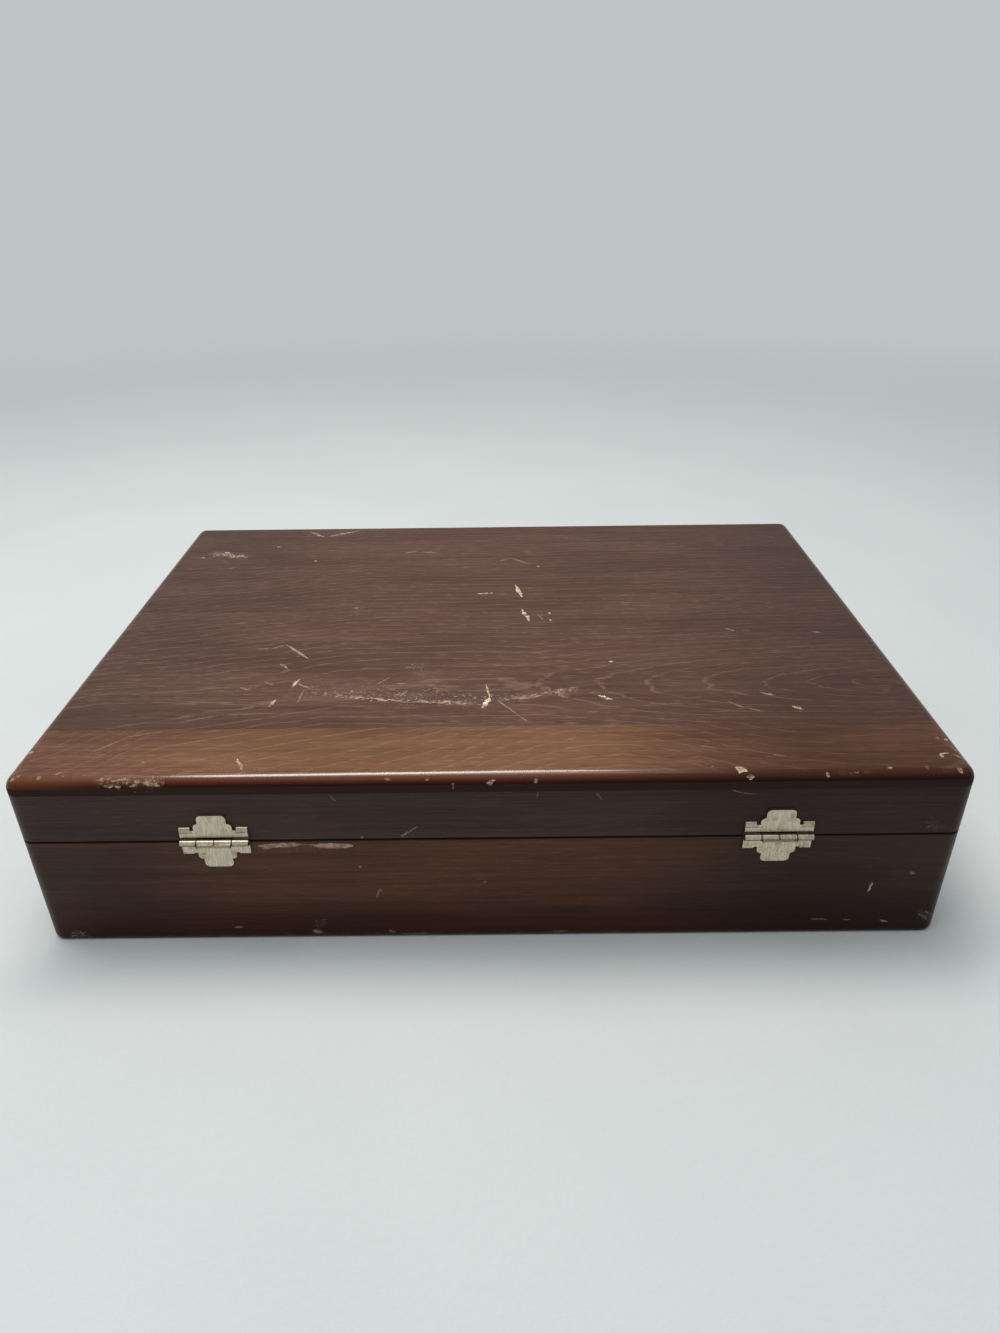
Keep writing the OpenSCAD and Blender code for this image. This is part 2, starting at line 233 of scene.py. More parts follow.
def floor():
    """A wide pale table top that fades into the backdrop away from the chest."""
    mesh = bpy.data.meshes.new("floor")
    reach = 8.0
    corners = [(-reach, -reach, 0), (reach, -reach, 0), (reach, reach, 0), (-reach, reach, 0)]
    mesh.from_pydata(corners, [], [(0, 1, 2, 3)])
    made = add_object("floor", mesh)
    material, graph, shader, place = new_material("pale_paper")
    fibres = graph.noise(place, 260, 5, 0.65)
    clouds = graph.noise(place, 7, 2)
    tone = graph.ramp(graph.mul_add(fibres, 0.25, clouds), 0.3, 1.0)
    paper = graph.mix(tone, (0.667, 0.712, 0.722), (0.703, 0.748, 0.758))
    graph.fill(shader, Base_Color=paper, Roughness=0.9, Specular_IOR_Level=0.2,
               Normal=graph.bump(fibres, 0.0006, 0.5))
    glow = graph.add("ShaderNodeEmission", rgba(BACKDROP), 1.0)
    near, far = 0.45, 1.5
    away = graph.vector("LENGTH", graph.vector("MULTIPLY", place, (0.8, 1.0, 1.0)))
    fade = graph.add("ShaderNodeMixShader", graph.ramp(away, near, far))
    graph.put(fade.inputs[1], shader.outputs[0])
    graph.put(fade.inputs[2], glow.outputs[0])
    graph.put(material.node_tree.nodes["Material Output"].inputs[0], fade.outputs[0])
    mesh.materials.append(material)


def lights():
    """A wide soft lamp, and a narrow one that draws the highlight on the top's edge. Both hang
    towards +X, where the shadow shows that the light came from."""
    area_light("overhead", (0.28, 0.26, 1.45), (0.20, 0.18, 0.05), (1.2, 1.25), 7.6,
               (0.985, 1.0, 0.995))
    area_light("tube", (0.25, -0.25, 1.38), (0.11, 0.1, 0.05), (1.0, 0.36), 10.7,
               (1.0, 0.945, 0.885), turn=0.2)


# ------------------------ marks

# Each mark is a stroke in mm on its face: from x, y to x, y, its width, and its strength up to 1.
# They were placed one by one.

# Bare wood showing through the top's lacquer
TOP_NICKS = [
    (-13, -42, -17, -26, 2.3, 1.0), (-16, -11, -20, 3, 2.0, 0.95), (8, -31, -1, -32, 1.7, 0.75),
    (-30, -7, -31, -5, 1.8, 0.85), (-30, 1, -31, 3, 1.4, 0.65), (-27, -69, -27, -67, 1.6, 0.4),
    (90, 68, 88, 60, 1.6, 0.9), (97, 84, 95, 78, 1.6, 0.85), (3, 87, 0, 78, 2.7, 1.0),
    (0, 79, 2, 66, 1.0, 0.8), (-48, 77, -54, 81, 1.9, 0.9), (-56, 46, -58, 47, 1.8, 0.8),
    (175, -87, 173, -86, 2.6, 0.6), (163, -95, 160, -93, 2.8, 0.8),
    (133, -103, 130, -103, 2.2, 0.45), (106, -80, 104, -80, 1.8, 0.5),
    (73, -15, 70, -15, 2.0, 0.6), (117, -128, 106, -119, 2.2, 0.45),
    (105, -119, 86, -129, 1.8, 0.45), (-131, 88, -135, 91, 2.1, 0.8),
    (-120, 76, -126, 79, 1.5, 0.4), (157.5, -88, 155, -87, 2.8, 0.65),
    (152.5, -90, 150, -88.5, 2.6, 0.55), (153, -72, 152, -70.5, 2.2, 0.4),
    (169, -90, 167, -89, 2.0, 0.4)]

# Pale lines scored in the top
TOP_SCRATCHES = [
    (116, 30, 107, 30, 0.9, 0.35), (107, 30, 101, 26, 1.0, 0.55), (101, 26, 87, 41, 1.5, 0.75),
    (100, 45, 95, 51, 1.7, 0.45), (104, 62, 99, 65, 1.1, 0.35), (88, 64, 81, 69, 1.2, 0.55),
    (84, 69, 85, 82, 0.9, 0.35), (72, 72, 66, 75, 1.2, 0.35), (62, 76, 56, 77, 1.5, 0.6),
    (56, 77, 50, 78, 0.8, 0.4), (51, 78, 45, 80, 2.0, 0.85), (45, 79, 33, 82, 1.1, 0.6),
    (34, 81, 22, 82, 1.2, 0.5), (23, 83, 17, 80, 2.0, 0.8), (17, 81, 10, 85, 1.2, 0.45),
    (52, 66, 46, 59, 0.9, 0.35), (43, 65, 38, 65, 1.4, 0.4), (40, 76, 37, 71, 1.3, 0.45),
    (-3, 80, -13, 94, 0.9, 0.5), (-13, 94, -16, 98, 0.8, 0.4), (-10, 80, -23, 77, 1.8, 0.65),
    (-22, 76, -30, 73, 1.0, 0.4), (-29, 72, -34, 72, 1.4, 0.5), (-30, 74, -33, 79, 2.3, 0.45),
    (-35, 71, -40, 70, 0.9, 0.35), (-44, 75, -49, 75, 0.9, 0.35), (-5, -77, -11, -81, 2.0, 0.28),
    (-11, -81, -22, -72, 1.8, 0.28), (53, -90, 46, -94, 2.8, 0.28), (42, -92, 33, -91, 2.4, 0.32),
    (-104, 83, -110, 89, 1.1, 0.35), (-110, 89, -118, 92, 1.1, 0.3),
    (-160, 18, -165, 20, 1.6, 0.35), (-118, 13, -122, 17, 2.4, 0.3), (114, 67, 108, 70, 1.5, 0.4),
    (-24, -5, -27, 2, 0.9, 0.3), (133, 96, 117, 90.5, 0.8, 0.3), (117, 90.3, 92, 89, 0.7, 0.25),
    (60, 94, 13, 91, 0.7, 0.2)]

# Rough, dusty rubs on the top
TOP_RUBS = [
    (80, 72, -10, 79, 30, 0.5), (68, 76, 8, 83, 10, 0.7), (8, 79, -2, 77, 8, 0.5),
    (-4, 80, -38, 72, 9, 0.7), (36, 48, 26, 72, 18, 0.4), (168, -93, 150, -88, 13, 0.85),
    (179, -87, 168, -86, 7, 0.5), (162, -84, 156, -78, 6, 0.4), (68, 60, 62, 70, 8, 0.3),
    (-4, 62, -22, 70, 9, 0.35), (120, -127, 84, -127, 5, 0.5), (-20, -92, -24, -86, 6, 0.4),
    (-46, -112, -60, -110, 7, 0.3), (-78, -112, -84, -111, 5, 0.3), (104, 66, 114, 70, 6, 0.35),
    (60, 100, 10, 100, 5, 0.15)]

STRIP_NICKS = [
    (-96.5, 132, -100.5, 134.5, 3.0, 0.8), (-100, 136, -103, 136.2, 1.0, 0.65),
    (-131, 135, -132, 136.6, 1.5, 0.5), (-155, 134, -157, 133, 1.5, 0.5),
    (-170, 132.5, -171, 134.5, 1.3, 0.5), (-179, 127.5, -180, 124.5, 1.5, 0.7),
    (-180, 124.8, -183, 124, 1.2, 0.65), (-182, 133.5, -183.5, 136, 2.0, 0.45),
    (-182, 113.5, -183.5, 114, 1.5, 0.4), (-185, 115.2, -187, 114, 1.5, 0.5),
    (101, 123, 100, 126, 1.4, 0.5), (100, 125, 97, 130.5, 1.6, 0.6),
    (139, 125.5, 137, 124.5, 1.6, 0.5), (186, 117.5, 187.5, 116, 2.2, 0.6),
    (187, 135, 183.5, 132.5, 2.0, 0.45), (176.5, 133.5, 175, 134, 1.8, 0.45),
    (24, 135.4, 24, 136.3, 1.5, 0.45), (14, 136.8, 14, 137.5, 1.0, 0.5),
    (1, 137, -2.5, 136.4, 1.0, 0.5), (-19, 136.1, -17.5, 137, 1.1, 0.5),
    (-87, 131, -88, 131.8, 1.6, 0.4), (151, 134.8, 150, 135.4, 1.1, 0.5),
    (150, 136.6, 143.5, 136.9, 0.7, 0.7), (144.5, 137.2, 143, 136.6, 0.6, 0.5)]

STRIP_SCRATCHES = [
    (140, 136.9, 136.5, 136.6, 0.5, 0.6), (136, 135.8, 128, 136.8, 0.9, 0.6),
    (131.5, 133.5, 130.5, 135.8, 0.9, 0.5), (146, 135.4, 140, 134.8, 0.9, 0.45),
    (170, 132.8, 168, 131, 1.0, 0.5), (38, 136.1, 41, 135.8, 0.8, 0.35),
    (-184, 125, -187.5, 128.5, 0.8, 0.5), (-113, 124, -118, 125.5, 1.0, 0.25),
    (-84, 117, -91, 119, 1.0, 0.25), (162, 118, 151, 107, 0.8, 0.3),
    (151, 106.8, 137, 102.2, 0.7, 0.3)]

STRIP_RUBS = [
    (152, 135, 128, 136, 5, 0.9), (176, 133, 154, 133.5, 3, 0.4),
    (-137, 135, -143, 135.5, 3.5, 0.6), (-146, 135, -148, 135, 2.5, 0.5),
    (-178, 134, -186, 131, 5, 0.5), (-185, 117, -189, 128, 4, 0.6), (184, 128, 189, 134, 5, 0.5),
    (-20, 133, -44, 132.5, 2, 0.35)]

# Marks on the hinge side, from x, z to x, z
BASE_NICKS = [
    (65, 51.2, 58, 50.8, 1.0, 0.45), (-158.5, 28.5, -157.5, 23, 1.0, 0.7),
    (2.5, 31.5, 2.5, 30, 1.0, 0.6), (-173, 34, -175, 33, 1.4, 0.22), (-166, 7, -169, 6, 1.2, 0.5),
    (44, 3.6, 42, 3, 2.0, 0.4), (77, 3.8, 73, 3, 2.6, 0.4), (54, 40, 53, 39.4, 1.3, 0.3),
    (110, 6.6, 107, 6.6, 1.3, 0.35)]
BASE_SCRATCHES = [
    (93.5, 51.3, 77, 51.9, 2.6, 1.0), (77, 52.0, 71, 51.7, 0.7, 0.6),
    (71, 51.3, 55.8, 50.9, 3.0, 1.0), (90, 51.6, 79, 52.0, 1.2, 0.8),
    (68, 51.5, 57.5, 51.2, 1.5, 0.8), (92.5, 50, 88.5, 50.3, 1.1, 0.5),
    (62, 50.2, 59, 50.0, 1.0, 0.6), (48, 23, 46.5, 28, 0.9, 0.5), (46.5, 28, 45.5, 26, 0.9, 0.4),
    (-136, 8, -143, 7.8, 0.9, 0.35), (-150, 7.6, -153, 7.4, 0.9, 0.3),
    (-181, 11, -186, 7, 0.9, 0.25), (-184, 12, -186, 10, 0.8, 0.25), (39, 1.8, 28, 2.0, 1.0, 0.3),
    (-26, 2.4, -33, 2.4, 0.9, 0.3)]
BASE_RUBS = [
    (95, 51, 56, 50.6, 2.5, 0.3), (-182, 12, -188, 6, 6, 0.4), (182, 4, 174, 2.5, 5, 0.5),
    (7, 26, 6, 25, 3, 0.4), (75, 5, 71, 11, 4, 0.35)]
LID_NICKS = [
    (35.5, 55.4, 35, 56.2, 1.3, 0.45), (52, 55.3, 51, 55.5, 1.2, 0.4)]
LID_SCRATCHES = [
    (35.5, 55.6, 29, 60.6, 0.8, 0.45), (62.5, 76.5, 60.5, 73.8, 1.0, 0.4),
    (-95, 77, -99, 75.4, 0.8, 0.3), (-99, 75.4, -104, 75, 0.7, 0.25),
    (-42, 76.4, -44, 73, 1.0, 0.3), (-19, 77, -18.6, 74.5, 0.9, 0.25)]
LID_RUBS = [
    (-175, 62, -178, 60, 5, 0.35), (-174, 57.6, -182, 57.6, 2.5, 0.3)]


# ------------------------ wood

# Lacquer, its gleam on the top and on the sides, and its polish where hands rub the top's edge
LACQUER_ROUGHNESS = 0.34
TOP_SPECULAR, SIDE_SPECULAR = 0.12, 0.16
COAT_ROUGHNESS, COAT_IOR = 0.14, 1.6

# Colours of wear, dust and the painted shade in the seam, and for worn wood the darkest and the
# palest
BARE_WOOD = (0.44, 0.29, 0.185), (0.76, 0.60, 0.47)
SCORED_WOOD = (0.33, 0.215, 0.15), (0.60, 0.425, 0.31)
DUST = (0.42, 0.30, 0.24)
FLECK = (0.45, 0.32, 0.24)
SEAM_SHADE = (0.006, 0.004, 0.004)

# Flecks: cells of their lattice per metre, largest radius in mm, and share of cells that have one
TOP_FLECKS, SIDE_FLECKS = (34, 0.9, 0.16), (40, 0.8, 0.12)


class Wood:
    """Stained and lacquered wood on one material. It is laid down in layers, and each layer takes
    over a share of the colour, the roughness and the height (in mm) of those under it."""

    def __init__(self, name, along, across):
        self.material, self.graph, self.shader, self.place = new_material(name)
        axes = dict(zip("XYZ", self.graph.split(self.place)))
        self.x, self.y, self.z = axes["X"], axes["Y"], axes["Z"]
        self.along, self.across = axes.pop(along), axes.pop(across)
        self.through = axes.popitem()[1]
        self.rough, self.height, self.polish = LACQUER_ROUGHNESS, 0.0, 0.0

    def stretched(self, along, across):
        """The board's own coordinates, as so many steps per metre along and across the grain."""
        graph = self.graph
        return graph.join(graph.times(self.along, along), graph.times(self.across, across),
                          graph.times(self.through, across))

    def layer(self, share, colour=None, rough=None, height=None):
        """A layer that covers this share of the wood."""
        graph = self.graph
        if colour is not None:
            self.colour = graph.mix(share, self.colour, colour)
        if rough is not None:
            self.rough = graph.blend(share, self.rough, rough)
        if height is not None:
            self.height = graph.mul_add(share, height, self.height)

    def shade(self, share, tint):
        """Multiply a share of the colour by a tint."""
        self.colour = self.graph.mix(share, self.colour, tint, blend="MULTIPLY")

    def grain(self, rings, spacing, dark, mid, line, line_strength, dash_strength):
        """Stain in dark and mid tones, light late-wood lines where rings / spacing passes a whole
        number, short light dashes, fibres, and short dark pores."""
        graph = self.graph
        sway = graph.noise(self.stretched(8, 20), 1.0, 2)
        ripple = graph.noise(self.stretched(50, 200), 1.0, 3)
        depth = graph.mul_add(sway, 0.011, rings)
        depth = graph.mul_add(ripple, 0.0026, depth)
        phase = graph.math("FRACT", graph.math("DIVIDE", depth, spacing))
        patches = graph.noise(self.stretched(11, 34), 1.0, 3)
        threads = graph.noise(self.stretched(6, 260), 1.0, 3, 0.6)
        fibres = graph.noise(self.stretched(20, 1100), 1.0, 4, 0.65)
        breaks = graph.noise(self.stretched(70, 500), 1.0, 3, 0.6)
        dashes = graph.noise(self.stretched(105, 1150), 1.0, 2, 0.5)
        pores = graph.noise(self.stretched(120, 2300), 1.0, 2, 0.5)

        tone = graph.mul_add(threads, 0.45, graph.times(patches, 0.55))
        self.colour = graph.mix(graph.ramp(tone, 0.36, 0.64), dark, mid)
        self.shade(graph.ramp(phase, 0.1, 0.9, 0.0, 0.45), (0.86, 0.84, 0.84))
        self.shade(graph.ramp(fibres, 0.62, 0.36, 0.0, 0.8), (0.72, 0.70, 0.70))
        ring_line = graph.band(phase, 0.84, 0.94, 0.97, 1.0)
        kept = graph.ramp(breaks, 0.38, 0.58, 0.15, 1.0)
        self.layer(graph.times(ring_line, kept, line_strength), line, 0.44, 0.03)
        dash = graph.times(graph.ramp(dashes, 0.56, 0.70),
                           graph.ramp(patches, 0.38, 0.58, 0.3, 1.0))
        self.layer(graph.times(dash, dash_strength), line, 0.42, 0.015)
        self.layer(graph.times(graph.ramp(pores, 0.60, 0.72), 0.5),
                   tuple(c * 0.45 for c in dark), 0.5, -0.05)
        self.rough = graph.blend(graph.ramp(fibres, 0.3, 0.7), self.rough, 0.40)
        self.height = graph.mul_add(fibres, 0.02, self.height)

    def end_grain(self, colour):
        """Darker, speckled wood where the face looks along the board."""
        graph = self.graph
        facing = graph.split(graph.add("ShaderNodeTexCoord").outputs["Normal"])[0]
        across = graph.ramp(graph.size(facing), 0.55, 0.9)
        speckle = graph.noise(self.place, 1400, 3)
        self.layer(graph.times(across, graph.ramp(speckle, 0.35, 0.65, 0.35, 0.85)), colour, 0.46)

    def strokes(self, marks, jitter):
        """Share of the hinge side that marks cover. Jitter in mm makes their outlines ragged."""
        graph = self.graph
        flat = graph.join(self.x, self.z, 0.0)
        wander = graph.noise(self.place, 850, 3, 0.6, output="Color")
        shift = graph.vector("MULTIPLY", graph.vector("SUBTRACT", wander, (0.5, 0.5, 0.5)),
                             (2 * jitter * MM, 2 * jitter * MM, 0.0))
        where = graph.vector("ADD", flat, shift)
        share = 0.0
        for x0, z0, x1, z1, width, strength in marks:
            start, run = Vector((x0, z0, 0)) * MM, Vector((x1 - x0, z1 - z0, 0)) * MM
            reach = graph.vector("SUBTRACT", where, start)
            along = graph.math("ADD", graph.vector("DOT_PRODUCT", reach, run / run.length_squared),
                               0.0, clamp=True)
            nearest = graph.add("ShaderNodeVectorMath", run, operation="SCALE")
            graph.fill(nearest, Scale=along)
            distance = graph.vector("DISTANCE", reach, nearest.outputs["Vector"])
            taper = min(0.3, width * MM / run.length)
            half_width = graph.ramp(graph.math("PINGPONG", along, 0.5), 0.0, taper,
                                    0.2 * width * MM, 0.5 * width * MM)
            past = graph.math("DIVIDE", distance, half_width)
            share = graph.larger(graph.ramp(past, 1.0, 0.6, 0.0, strength), share)
        return share

    def drawn_marks(self, nicks, scratches, rubs):
        """Marks that the material draws by itself."""
        nick_jitter, scratch_jitter, rub_jitter = 0.8, 0.5, 4.0
        self.marks(self.strokes(nicks, nick_jitter), self.strokes(scratches, scratch_jitter),
                   self.strokes(rubs, rub_jitter))

    def marks(self, nicks, scratches, rubs, dust=DUST):
        """Rubs first, as a veil and specks of dust, then scratches, then nicks to bare wood."""
        graph = self.graph
        grit = graph.noise(self.stretched(700, 1100), 1.0, 4, 0.7)
        specks = graph.ramp(graph.mul_add(rubs, 0.26, grit), 0.68, 0.80)
        veil = graph.noise(self.stretched(60, 110), 1.0, 3)
        self.layer(graph.times(rubs, graph.ramp(veil, 0.38, 0.62, 0.08, 0.34)),
                   tuple(c * 0.62 for c in dust), 0.5)
        self.layer(graph.times(graph.ramp(rubs, 0.02, 0.15), specks, 0.9),
                   tuple(c * 1.3 for c in dust), 0.55)
        broken = graph.ramp(grit, 0.30, 0.55, 0.35, 1.0)
        splinters = graph.noise(self.stretched(420, 520), 1.0, 3, 0.6)
        self.layer(graph.times(scratches, broken),
                   graph.mix(graph.ramp(splinters, 0.38, 0.60), *SCORED_WOOD), 0.5)
        self.layer(graph.times(nicks, graph.ramp(splinters, 0.34, 0.50, 0.45, 1.0)),
                   graph.mix(graph.ramp(splinters, 0.40, 0.60), *BARE_WOOD), 0.6)

    def carved_marks(self, dust):
        """Marks that the mesh carries: each face corner's nick, scratch and rub."""
        marked = self.graph.add("ShaderNodeAttribute", attribute_name=MARKS).outputs["Vector"]
        self.marks(*self.graph.split(marked), dust)

    def flecks(self, per_metre, radius, kept):
        """Specks of bare wood and dust, one in some of the cells of a loose lattice."""
        graph = self.graph
        cells = graph.add("ShaderNodeTexVoronoi")
        graph.fill(cells, Vector=self.place, Scale=per_metre)
        chance, size, _ = graph.add("ShaderNodeSeparateColor", cells.outputs["Color"]).outputs
        reach = graph.times(size, radius * MM * per_metre)
        spot = graph.math("LESS_THAN", cells.outputs["Distance"], reach)
        shown = graph.math("LESS_THAN", chance, kept)
        self.layer(graph.times(spot, shown, 0.6), FLECK, 0.55, -0.03)

    def worn_edges(self, nearness, colour, strength):
        """Rubbed-through lacquer where nearness to an edge, broken up by noise, is high."""
        graph = self.graph
        broken = graph.noise(self.place, 160, 4, 0.65)
        share = graph.ramp(graph.mul_add(broken, 1.1, nearness), 1.15, 1.45)
        self.layer(graph.times(share, strength), colour, 0.45)

    def finish(self, specular):
        """Joins the layers to the shader."""
        self.graph.fill(self.shader, Base_Color=self.colour, Roughness=self.rough,
                        Normal=self.graph.bump(self.height, MM, 0.8), Specular_IOR_Level=specular,
                        Coat_Weight=self.polish, Coat_Roughness=COAT_ROUGHNESS, Coat_IOR=COAT_IOR)
        return self.material


def top_board_wood():
    """Flat-sawn board: the pith runs under one line along it and comes up towards -X."""
    pith_y, pith_depth, pith_slope = 0.068, 0.034, 0.17
    wood = Wood("top_board_wood", "X", "Y")
    graph = wood.graph
    rise = graph.mul_add(graph.math("MINIMUM", wood.along, -0.02), pith_slope, pith_depth)
    bend = graph.times(graph.larger(graph.minus(wood.along, 0.07), 0.0), -0.25)
    across = graph.math("ADD", graph.minus(wood.across, pith_y), bend)
    rings = graph.vector("LENGTH", graph.join(across, graph.larger(rise, 0.0), 0.0))
    wood.grain(rings, spacing=0.0042, dark=(0.093, 0.0435, 0.031), mid=(0.138, 0.0675, 0.0475),
               line=(0.29, 0.165, 0.115), line_strength=0.5, dash_strength=0.5)
    # Painted shade towards the far side, where the backdrop's reflection is strongest
    wood.shade(graph.ramp(wood.across, 0.09, -0.12), (0.86, 0.79, 0.76))
    # Painted shade towards -X
    wood.shade(graph.ramp(wood.x, -0.05, -0.185, 0.0, 1.0), (0.60, 0.575, 0.575))
    wood.shade(graph.ramp(wood.x, 0.07, 0.185, 0.0, 1.0), (0.82, 0.89, 0.93))
    wood.end_grain((0.045, 0.018, 0.013))
    edge_tone_and_shade(wood, (0.090, 0.032, 0.018), (0.080, 0.029, 0.019))
    wood.carved_marks((0.44, 0.30, 0.25))
    wood.flecks(*TOP_FLECKS)
    return wood.finish(TOP_SPECULAR)


def top_strip_wood():
    """A redder, lighter board whose rings swell round a knot that lies just off its edge."""
    knot_x, knot_reach, knot_swell = -0.052, 0.055, 0.030
    wood = Wood("top_strip_wood", "X", "Y")
    graph = wood.graph
    away = graph.math("DIVIDE", graph.math("ADD", wood.along, -knot_x), knot_reach)
    swell = graph.math("POWER", 2.718, graph.times(away, away, -1.0))
    rings = graph.mul_add(swell, knot_swell, wood.across)
    rings = graph.mul_add(graph.larger(wood.along, 0.0), -0.28, rings)
    rings = graph.mul_add(graph.ramp(wood.along, 0.13, 0.19), -0.03, rings)
    wood.grain(rings, spacing=0.0070, dark=(0.147, 0.068, 0.038), mid=(0.250, 0.122, 0.067),
               line=(0.42, 0.245, 0.15), line_strength=0.4, dash_strength=0.4)
    # Painted shade towards -X
    wood.shade(graph.ramp(wood.x, 0.0, -0.15, 0.0, 1.0), (0.42, 0.36, 0.35))
    clouds = graph.noise(wood.stretched(14, 40), 1.0, 2)
    cloudy = graph.ramp(clouds, 0.44, 0.64, 0.0, 0.24)
    wood.layer(graph.times(cloudy, graph.ramp(wood.x, -0.10, -0.04)), (0.200, 0.095, 0.035))
    wood.shade(graph.ramp(wood.x, 0.105, 0.180), (0.73, 0.71, 0.77))
    wood.shade(graph.ramp(wood.across, 0.120, 0.131, 0.0, 0.6), (0.92, 0.82, 0.74))
    wood.layer(graph.ramp(wood.x, -0.180, -0.189, 0.0, 0.2), (0.20, 0.065, 0.020))
    wood.end_grain((0.07, 0.022, 0.012))
    edge_tone_and_shade(wood, (0.130, 0.036, 0.012), (0.142, 0.046, 0.017))
    wood.carved_marks((0.36, 0.24, 0.15))
    wood.flecks(*TOP_FLECKS)
    return wood.finish(TOP_SPECULAR)


def edge_tone_and_shade(wood, tone, worn):
    """The top's rounded edge: polished by hands at its shoulder, its tone darker towards -X as
    painted shade, with painted shade down towards the rails, and dark and dull below."""
    graph = wood.graph
    below = graph.minus(TOP_HIGH, wood.z)
    inboard = graph.ramp(wood.x, 0.185, 0.155)
    wood.polish = graph.times(graph.band(wood.x, -0.105, -0.045, 0.100, 0.138),
                              graph.band(below, 0.0, 0.08 * MM, 0.38 * MM, 0.9 * MM))
    wood.rough = graph.blend(graph.ramp(below, 0.1 * MM, 0.5 * MM), wood.rough, 0.2)
    # The shoulder's own tone, with painted shade towards -X
    wood.layer(graph.times(graph.ramp(below, 0.1 * MM, 0.7 * MM), 0.9, inboard),
               graph.mix(graph.ramp(wood.x, 0.0, -0.12), tone, (0.063, 0.018, 0.009)))
    wood.layer(graph.times(graph.ramp(below, 0.05 * MM, 0.6 * MM),
                           graph.ramp(wood.x, 0.140, 0.175)), worn)
    # Painted shade down the lower rounding, less at the +X end
    wood.shade(graph.times(graph.ramp(below, 0.7 * MM, 3.4 * MM),
                           graph.ramp(wood.x, 0.182, 0.140, 0.45, 1.0)), (0.20, 0.08, 0.05))
    wood.layer(graph.ramp(below, 3.5 * MM, 4.0 * MM), (0.041, 0.019, 0.015), 0.9)


def side_wood(name, along, dark, mid, line):
    """Wall or rail: wood with fine, nearly straight grain along its length. Its mitre shows as a
    fine dark line in the middle of each round corner."""
    wood = Wood(name, along, "Z")
    graph = wood.graph
    wood.grain(wood.across, 0.0034, dark, mid, line, line_strength=0.22, dash_strength=0.30)
    corner = graph.minus(graph.size(wood.x), graph.size(wood.y))
    off_mitre = graph.size(graph.minus(corner, CASE_W / 2 - CASE_D / 2))
    wood.layer(graph.ramp(off_mitre, 0.22 * MM, 0.08 * MM, 0.0, 0.75), (0.012, 0.006, 0.005), 0.6,
               -0.05)
    return wood


def end_shade_and_grey(wood):
    """The hinge side: painted shade towards -X, greyer towards +X, and lightest in the middle."""
    graph = wood.graph
    wood.shade(graph.ramp(wood.x, -0.035, -0.125), (0.44, 0.43, 0.47))
    wood.shade(graph.ramp(wood.x, 0.085, 0.175), (0.72, 0.74, 0.94))


def painted_seam_shade(wood, clear, full):
    """Painted shade on the eased edge along the seam, from none at the height clear to full. The
    flat rim behind it is only a little darkened."""
    graph = wood.graph
    share = graph.ramp(wood.z, clear, full)
    level = graph.size(graph.split(graph.add("ShaderNodeTexCoord").outputs["Normal"])[2])
    # Painted shade: a little over the rim and the edge, near black on the eased edge alone
    wood.shade(graph.times(share, 0.5), (0.60, 0.55, 0.55))
    wood.layer(graph.times(share, graph.ramp(level, 0.985, 0.93), 0.95), SEAM_SHADE, 0.7)


def base_wood(name, along, side):
    """Wall of the base, darker and rubbed towards its foot. Its side is the chest's side."""
    wood = side_wood(name, along, dark=(0.079, 0.030, 0.0155), mid=(0.130, 0.0495, 0.0255),
                     line=(0.19, 0.095, 0.062))
    graph = wood.graph
    wood.shade(graph.ramp(wood.z, 0.030, 0.005), (0.57, 0.32, 0.22))
    foot = graph.ramp(wood.z, 0.008, 0.0)
    wood.worn_edges(graph.times(foot, 0.85), (0.10, 0.055, 0.038), 0.5)
    if side == "back":
        end_shade_and_grey(wood)
    painted_seam_shade(wood, BASE_TOP - 0.7 * MM, BASE_TOP - 0.35 * MM)
    if side == "back":
        wood.drawn_marks(BASE_NICKS, BASE_SCRATCHES, BASE_RUBS)
    wood.flecks(*SIDE_FLECKS)
    return wood.finish(SIDE_SPECULAR)


def rail_wood(name, along, side):
    """Rail of the lid."""
    wood = side_wood(name, along, dark=(0.059, 0.029, 0.021), mid=(0.090, 0.046, 0.034),
                     line=(0.15, 0.085, 0.063))
    if side == "back":
        end_shade_and_grey(wood)
    painted_seam_shade(wood, LID_BOTTOM + 0.6 * MM, LID_BOTTOM + 0.3 * MM)
    if side == "back":
        wood.drawn_marks(LID_NICKS, LID_SCRATCHES, LID_RUBS)
    wood.flecks(*SIDE_FLECKS)
    return wood.finish(SIDE_SPECULAR)


def plywood():
    """Bare birch veneer, its grain along the chest."""
    wood = Wood("plywood", "X", "Y")
    graph = wood.graph
    rings = graph.vector("LENGTH", graph.join(graph.math("ADD", wood.across, 0.03),
                                              graph.mul_add(wood.along, 0.10, 0.04), 0.0))
    wood.grain(rings, spacing=0.011, dark=(0.30, 0.19, 0.105), mid=(0.40, 0.27, 0.16),
               line=(0.46, 0.33, 0.21), line_strength=0.5, dash_strength=0.5)
    wood.rough = graph.blend(0.8, wood.rough, 0.75)
    return wood.finish(0.3)


# ------------------------ metal and cloth

def middle_of(node, axis):
    return sum(corner[axis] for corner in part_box(node)) / 2


# Middle of the hinge at -X, the way to the other one, and the pins' axis
HINGE_X = middle_of("left_hinge_pin", 0)
HINGES_APART = middle_of("right_hinge_pin", 0) - HINGE_X
PIN_Y, PIN_Z = middle_of("left_hinge_pin", 1), middle_of("left_hinge_pin", 2)

# Over the pins: the fold above the knuckles, and the bend of the upper leaf's wings into the wood.
# Out from a hinge's middle: the joint of its end knuckles, and the start of its wings
FOLD, WING_BEND = 1.7 * MM, 4.4 * MM
JOINT, WING = 7.1 * MM, 8.6 * MM


